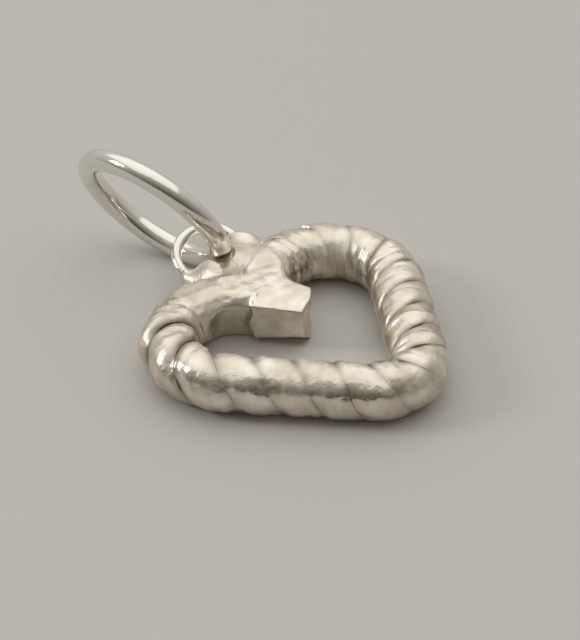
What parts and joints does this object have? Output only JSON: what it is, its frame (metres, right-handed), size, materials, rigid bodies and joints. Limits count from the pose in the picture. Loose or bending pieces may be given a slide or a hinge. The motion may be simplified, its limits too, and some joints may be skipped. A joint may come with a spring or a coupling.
{
  "type": "heart pendant",
  "caption": "Open heart pendant bent from twisted silver rope wire and soldered at the cleft, with an eyelet in the notch and a loose jump ring that hangs it on a chain.",
  "frame": {"origin": "on the back, midway between the lobes, on the flat underside of the soldered cleft", "axes": "+Y from the heart's tip to the eyelet, +Z out of the front, +X to the right lobe seen from the front; the pendant lies on its back"},
  "size_m": [0.0109, 0.0153, 0.0054],
  "materials": {
    "rope_silver": "satin",
    "solder_silver": "satin",
    "polished_silver": "polished"
  },
  "bodies": {
    "heart": {"rope_strand_a": "rope_silver", "rope_strand_b": "rope_silver", "cleft_joint": "solder_silver", "eyelet": "polished_silver", "eyelet_solder": "solder_silver"},
    "ring": {"jump_ring": "polished_silver"}
  },
  "joints": [
    {"name": "ring_swing", "type": "hinge", "parent": "heart", "child": "ring", "pos_m": [0.00047, 0.0053, 0.00137], "axis": [0.8665, 0.0819, 0.4924], "range_deg": [-115, 2]}
  ]
}
